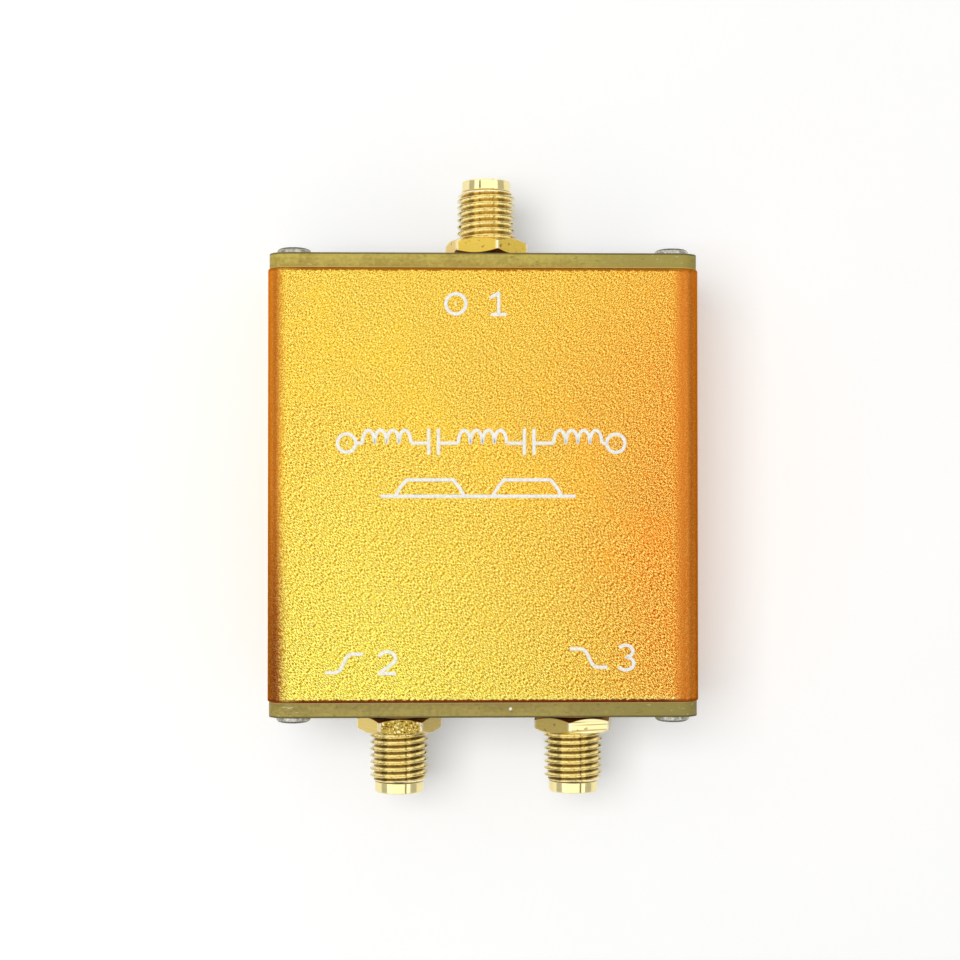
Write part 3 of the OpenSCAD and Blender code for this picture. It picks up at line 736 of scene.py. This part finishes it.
turned_gold = gold_plate("turned_gold", linear(244, 226, 156), linear(230, 204, 116), 0.08, 0.2, True)
for number, x, side in JACKS:
    name = f"jack_{number}_turned_shell"
    shell = link_piece(name, shell_blank(name, x, side))
    follow_rule(shell, thread_rule, {
        "Axis X": x * MM, "Axis Z": JACK_Z * MM, "Side": float(side), "Base": CASE_END * MM,
        "Pitch": THREAD_PITCH * MM, "Crest Radius": THREAD_R * MM, "Depth": THREAD_DEPTH * MM,
        "Crest Width": CREST_W * MM, "First Crest": FIRST_CREST * MM, "Lead From": LEAD_FROM * MM,
        "Lead Radius": TIP_R * MM, "Lead Slope": (THREAD_R - TIP_R) / (THREAD_TO - LEAD_FROM),
        "Material": turned_gold})
    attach(shell, "root")
    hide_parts(f"jack_{number}_shell")

# Nuts: hexagons, 8 mm across flats, milled from brass bar, chamfered on both faces and gold
# plated. Each one pulls its jack's flange against the plate and stopped at its own turn.
NUT_HALF = 4.0
NUT_FROM = 2.3
NUT_TO = 4.1
NUT_FACE_R = 3.8
NUT_CORNER_R = 0.22
NUT_BORE_R = 2.93
NUT_TURN = {1: -16, 2: 3, 3: 21}
# Painted light: the rear nut's tints are brighter than the front nuts', making up for light its flats miss.
NUT_TINTS_WITH_PAINTED_LIGHT = {1: (linear(252, 228, 112), linear(244, 208, 90)), -1: (linear(238, 220, 146), linear(220, 194, 110))}


def hexagon(turn, side):
    """The outline of a nut with lightly rounded corners. turn is from a flat that faces up."""
    points = []
    for flat in range(6):
        corner = math.radians(90 - turn + 60 * flat + 30)
        reach = (NUT_HALF - NUT_CORNER_R) / math.cos(math.radians(30))
        cx, cz = reach * math.cos(corner), reach * math.sin(corner)
        for k in range(7):
            a = corner + math.radians(-30 + 10 * k)
            points.append((cx + NUT_CORNER_R * math.cos(a), cz + NUT_CORNER_R * math.sin(a)))
        ax, az = points[-1]
        after = math.radians(90 - turn + 60 * flat + 90)
        bx = reach * math.cos(after) + NUT_CORNER_R * math.cos(after - math.radians(30))
        bz = reach * math.sin(after) + NUT_CORNER_R * math.sin(after - math.radians(30))
        points += [(ax + (bx - ax) * k / 12, az + (bz - az) * k / 12) for k in range(1, 12)]
    return points


def nut_mesh(name, x, side, turn):
    """A nut round the axis through x, with chamfer arcs on its flats and a chamfered bore."""
    outline = hexagon(turn, side)
    points = []
    faces = []
    rings = []

    def add_ring(place_of):
        rings.append(range(len(points), len(points) + len(outline)))
        for u, v in outline:
            s, reach = place_of(math.hypot(u, v))
            scale = reach / math.hypot(u, v)
            points.append((x + u * scale, side * (CASE_END + s), JACK_Z + v * scale))

    drop = math.tan(math.radians(30))
    add_ring(lambda r: (NUT_FROM, NUT_BORE_R + 0.3))
    add_ring(lambda r: (NUT_FROM, NUT_FACE_R))
    add_ring(lambda r: (NUT_FROM + (r - NUT_FACE_R) * drop, r))
    add_ring(lambda r: (NUT_TO - (r - NUT_FACE_R) * drop, r))
    add_ring(lambda r: (NUT_TO, NUT_FACE_R))
    add_ring(lambda r: (NUT_TO, NUT_BORE_R + 0.36))
    add_ring(lambda r: (NUT_TO - 0.34, NUT_BORE_R))
    add_ring(lambda r: (NUT_FROM + 0.3, NUT_BORE_R))
    for first, second in zip(rings, rings[1:] + rings[:1]):
        faces += ring_faces(first, second)
    return solid_mesh(name, points, faces, 24)


def nut_finish(name, x, turn, pale, deep, pitted, scored):
    """Gold on milled flats: fine lines, and on the top flat also pits or deeper score lines. Painted highlights on
    the corners, painted shade on the plate-side chamfer, and on pitted flats painted shade and glints.
    """
    material, shader, place = new_finish(name, Metallic=1.0)
    u = place.part(0) - x * MM
    v = place.part(2) - JACK_Z * MM
    sixth = (place.math("ARCTAN2", u, v) / math.radians(60)) - turn / 60
    flat = place.math("ROUND", sixth)
    own = place.node("ShaderNodeTexWhiteNoise", {"noise_dimensions": "1D"}, {"W": flat + 0.5}, 0)
    lines = place.stretched(150, 7000, 150).noise(1, 2)
    scores = place.stretched(140, 5600, 140).noise(1, 1)
    pits = place.noise(4400, 1, 0.6)
    top = 1 - abs(flat).over(0.2, 0.6)
    corner = abs(sixth - flat).over(0.44, 0.47)
    tone = (own * 0.5 + lines * 0.5).over(0.2, 0.8).mix(pale, deep)
    if pitted:
        tone = top.mix(tone, linear(194, 164, 70))
        # Painted shade and highlight: the pitted top flat gets dark brown specks as shade in its pits and pale
        # specks as glints on its high spots.
        tone = (top * (1 - pits.over(0.34, 0.46))).mix(tone, linear(102, 74, 16))
        tone = (top * pits.over(0.59, 0.66)).mix(tone, linear(255, 246, 190))
    if scored:
        tone = top.mix(tone, linear(244, 234, 174))
        tone = (top * (1 - scores.over(0.4, 0.5)) * 0.8).mix(tone, linear(176, 146, 76))
    if not pitted:
        nicks = 1 - place.noise(1400, 2).over(0.3, 0.34)
        tone = (nicks * 0.7).mix(tone, linear(160, 100, 22))
    # Painted highlight: near-white strips along the hex corners.
    tone = (corner * 0.6).mix(tone, linear(255, 250, 220))
    # Painted shade: the plate-side face and chamfer are painted dark brown, the shade between nut and plate.
    chamfer = abs(place.part(1)) / MM - CASE_END - NUT_FROM
    chamfer = chamfer - (off_axis(place, x, JACK_Z) / MM - NUT_FACE_R) * math.tan(math.radians(30))
    tone = ((1 - chamfer.over(0.02, 0.06)) * 0.85).mix(tone, linear(116, 60, 20))
    tone.into(shader, "Base Color")
    (0.16 + 0.1 * own + 0.2 * pitted * top + 0.06 * pits).into(shader, "Roughness")
    (lines * 0.5 + pits * top * 2.0 * pitted).bump(0.000012, 0.7).into(shader, "Normal")
    return material


for number, x, side in JACKS:
    turn = NUT_TURN[number]
    pale, deep = NUT_TINTS_WITH_PAINTED_LIGHT[side]
    nut = link_piece(f"jack_{number}_hex_nut", nut_mesh(f"jack_{number}_hex_nut", x, side, turn))
    nut.data.materials.append(nut_finish(
        f"milled_gold_{number}", x, turn, pale, deep, number == 2, number == 3))
    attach(nut, "root")
    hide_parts(f"jack_{number}_nut")

# Lock washers: stamped rings with teeth round the bore, bright plated, pinched between each nut and its plate.
# Their gold is painted dark brown, as painted shade for the shadow between nut and plate.
washer_gold_painted_shade = gold_plate("washer_gold_painted_shade", linear(160, 108, 46), linear(122, 76, 30), 0.2, 0.38)
for number, x, side in JACKS:
    washer = smooth_copy(f"jack_{number}_lock_washer", f"jack_{number}_toothed_washer", 0.04)
    washer.data.materials.append(washer_gold_painted_shade)

# Insulators and centre contacts: a white sleeve turned from fluoropolymer rod, pressed into each
# shell, and a gold-plated contact in it whose slit end grips a plug's pin.
sleeve_white, shader, place = new_finish("sleeve_white", IOR=1.38)
shader.inputs["Subsurface Weight"].default_value = 0.15
shader.inputs["Subsurface Radius"].default_value = (0.0008, 0.0008, 0.0007)
swirl = place.stretched(400, 7000, 400).noise(1, 2)
swirl.over(0.3, 0.7).mix(linear(238, 238, 233), linear(228, 228, 222)).into(shader, "Base Color")
(0.42 + 0.14 * place.noise(900)).into(shader, "Roughness")
swirl.bump(0.000008, 0.5).into(shader, "Normal")
contact_gold = gold_plate("contact_gold", linear(244, 208, 122), linear(228, 186, 96), 0.16, 0.26)
for number, x, side in JACKS:
    sleeve = smooth_copy(f"jack_{number}_insulator", f"jack_{number}_white_sleeve", 0.03)
    sleeve.data.materials.append(sleeve_white)
    contact = smooth_copy(f"jack_{number}_contact", f"jack_{number}_slit_contact")
    contact.data.materials.append(contact_gold)

# Filter board: green masked laminate in the case's slots, with tinned copper where parts sit.
# It is out of sight in the closed case, and keeps the CAD form.
BOARD_TOP = 8.71
board_green, shader, place = new_finish("board_green")
height = place.part(2)
copper = height.over((BOARD_TOP + 0.01) * MM, (BOARD_TOP + 0.04) * MM)
weave = place.stretched(2600, 2600, 400).noise(1, 2)
mask = weave.over(0.3, 0.7).mix(linear(26, 84, 48), linear(38, 104, 60))
tin = place.noise(1800, 3).over(0.3, 0.7).mix(linear(206, 206, 200), linear(172, 172, 166))
copper.mix(mask, tin).into(shader, "Base Color")
copper.into(shader, "Metallic")
(0.42 - 0.1 * copper + 0.1 * weave).into(shader, "Roughness")
(weave + place.noise(3000) * copper).bump(0.00001, 0.6).into(shader, "Normal")
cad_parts["circuit_board"].data.materials.clear()
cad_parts["circuit_board"].data.materials.append(board_green)

# Coils and chip capacitors: the coils are bare copper wire wound on a rod, the chips are fired
# ceramic with tinned ends. They lie on the board inside the case.
bare_copper, shader, place = new_finish("bare_copper", Metallic=1.0)
drawn = place.stretched(1200, 1200, 1200).noise(1, 3)
drawn.over(0.3, 0.7).mix(linear(226, 150, 106), linear(196, 116, 74)).into(shader, "Base Color")
(0.24 + 0.2 * drawn).into(shader, "Roughness")
place.noise(5000, 2).bump(0.000008, 0.6).into(shader, "Normal")
for i in (1, 2, 3):
    coil = smooth_copy(f"low_pass_coil_{i}", f"low_pass_wire_coil_{i}")
    coil.data.materials.append(bare_copper)
for i in (1, 2):
    coil = smooth_copy(f"high_pass_coil_{i}", f"high_pass_wire_coil_{i}")
    coil.data.materials.append(bare_copper)
CHIP_LENGTH = 3.2
for kind, count in (("low_pass_capacitor", 2), ("high_pass_capacitor", 3)):
    for i in range(1, count + 1):
        chip = smooth_copy(f"{kind}_{i}", f"{kind}_chip_{i}", 0.05)
        low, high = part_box(f"{kind}_{i}")
        middle = (low + high) / 2
        material, shader, place = new_finish(f"{kind}_ceramic_{i}")
        axis = 0 if high.x - low.x > high.y - low.y else 1
        tinned = abs(place.part(axis) - middle[axis]).over(0.00108, 0.00112)
        clay = place.noise(2400, 4).over(0.3, 0.7).mix(linear(196, 172, 140), linear(168, 142, 110))
        tinned.mix(clay, linear(204, 204, 200)).into(shader, "Base Color")
        tinned.into(shader, "Metallic")
        (0.55 - 0.25 * tinned).into(shader, "Roughness")
        place.noise(4200, 3).bump(0.00001, 0.6).into(shader, "Normal")
        chip.data.materials.append(material)

# Print: white ink screened on the top face in round-ended strokes. A number stands at each jack,
# a row of coil and capacitor symbols across the middle, and a two-band curve under it.
INK_HALF = 0.185
INK_STEP = 0.07
INK_HEIGHT = 0.016


def bow(cx, cy, rx, ry, start, end, steps=16):
    """Part of an ellipse as a line of points."""
    return [(cx + rx * math.cos(math.radians(start + (end - start) * k / steps)),
             cy + ry * math.sin(math.radians(start + (end - start) * k / steps))) for k in range(steps + 1)]


def port_sign(cx, cy, r):
    """A ring with a dot: a coaxial port."""
    return [bow(cx, cy, r, r, 0, 360, 28), [(cx - 0.05, cy), (cx + 0.05, cy)]]


def pass_sign(left, low, mirrored):
    """A response line: low then high, or high then low if mirrored."""
    line = [(0, 0), (1.1, 0), (1.55, 0.25), (2.25, 1.65), (2.7, 1.9), (3.9, 1.9)]
    return [[(left + (3.9 - px if mirrored else px), low + py) for px, py in line]]


def coil_sign(x, y, humps, width, height):
    lines = []
    for k in range(humps):
        lines += bow(x + width * (k + 0.5), y, width / 2, height, 180, 0, 10)
    return [lines]


strokes = []
# Rear jack: port sign and 1.
strokes += port_sign(-2.9, 18.75, 1.05)
strokes += [[(0.6, 19.35), (1.55, 19.9), (1.55, 17.65)], [(0.75, 17.65), (2.35, 17.65)]]
# Front left jack: high-pass sign and 2.
strokes += pass_sign(-16.4, -19.4, False)
strokes += [bow(-10.0, -18.0, 0.85, 0.75, 165, -25, 14) + [(-10.85, -19.5), (-9.1, -19.5)]]
# Front right jack: low-pass sign and 3.
strokes += pass_sign(8.9, -18.9, True)
strokes += [bow(14.7, -17.25, 0.75, 0.62, 150, -90, 14) + bow(14.7, -18.53, 0.85, 0.66, 90, -150, 14)]
# Middle: coil and capacitor symbols in one line between two ports.
line_y = 4.3
strokes += port_sign(-14.2, line_y, 0.95)
strokes += port_sign(13.7, line_y, 0.95)
cursor = -13.25
for kind in ("coil", "plates", "coil", "plates", "coil"):
    if kind == "coil":
        strokes += [[(cursor, line_y), (cursor + 0.7, line_y)]]
        strokes += coil_sign(cursor + 0.7, line_y, 4, 1.25, 1.35)
        cursor += 5.7
    else:
        strokes += [[(cursor, line_y), (cursor + 1.85, line_y)], [(cursor + 1.85, line_y - 1.2), (cursor + 1.85, line_y + 1.5)],
                    [(cursor + 2.85, line_y - 1.2), (cursor + 2.85, line_y + 1.5)], [(cursor + 2.85, line_y), (cursor + 4.2, line_y)]]
        cursor += 4.2
strokes += [[(cursor, line_y), (12.75, line_y)]]
# Under it: a low band and a high band on one base line.
strokes += [[(-10.7, -1.2), (9.5, -1.2)]]
strokes += [[(-9.2, -1.2), (-8.6, -0.2), (-8.0, 0.5), (-3.2, 0.5), (-2.6, -0.2), (-2.0, -1.2)]]
strokes += [[(0.9, -1.2), (1.5, -0.2), (2.1, 0.5), (6.9, 0.5), (7.5, -0.2), (8.1, -1.2)]]

print_rule, size = rule_tree("ink_strokes", ("Half Width", "Step", "Height", "Lift"))
lines = size["Step"].node("GeometryNodeMeshToCurve", feeds={"Mesh": size["Geometry"]})
steps = lines.node("GeometryNodeResampleCurve", {"mode": "LENGTH"}, {"Curve": lines, "Length": size["Step"]})
run = lines.node("GeometryNodeSplineParameter", out="Length")
whole = lines.node("GeometryNodeSplineLength", out="Length")
near_end = lines.math("MINIMUM", run, whole - run)
inside = 1 - lines.math("MINIMUM", near_end / size["Half Width"], 1.0)
round_end = lines.math("SQRT", lines.math("MAXIMUM", 1 - inside * inside, 0.0004))
ring = lines.node("GeometryNodeCurvePrimitiveCircle", {"mode": "RADIUS"}, {"Resolution": 10, "Radius": size["Half Width"]})
sized = lines.node("GeometryNodeSetCurveRadius", feeds={"Curve": steps, "Radius": round_end})
tube_feeds = {"Curve": sized, "Profile Curve": ring, "Fill Caps": True}
tube = lines.node("GeometryNodeCurveToMesh", feeds=tube_feeds)
flat_scale = lines.node("ShaderNodeCombineXYZ", feeds={0: 1.0, 1: 1.0, 2: size["Height"] / size["Half Width"]})
lift = lines.node("ShaderNodeCombineXYZ", feeds={2: size["Lift"]})
ink = lines.node("GeometryNodeTransform", feeds={"Geometry": tube, "Translation": lift, "Scale": flat_scale})
close_rule(ink, size["Material"])

white_ink, shader, place = new_finish("white_ink")
mesh_marks = place.stretched(1, 1, 1).noise(5200, 3, 0.6)
(mesh_marks.over(0.3, 0.62)).mix(linear(232, 228, 212), linear(253, 252, 248)).into(shader, "Base Color")
(0.5 + 0.2 * mesh_marks).into(shader, "Roughness")
mesh_marks.bump(0.00001, 0.6).into(shader, "Normal")
points = []
edges = []
for line in strokes:
    base = len(points)
    closed = math.dist(line[0], line[-1]) < 1e-6
    if closed:
        line = line[:-1]
    points += [(px * MM, py * MM, 0) for px, py in line]
    edges += [(base + k, base + k + 1) for k in range(len(line) - 1)]
    if closed:
        edges.append((base + len(line) - 1, base))
print_mesh = bpy.data.meshes.new("top_print")
print_mesh.from_pydata(points, edges, [])
top_print = link_piece("top_print", print_mesh)
follow_rule(top_print, print_rule, {"Half Width": INK_HALF * MM, "Step": INK_STEP * MM,
                                    "Height": INK_HEIGHT * MM, "Lift": CASE_H * MM, "Material": white_ink})
for polygon in top_print.data.polygons:
    polygon.use_smooth = True
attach(top_print, "root")
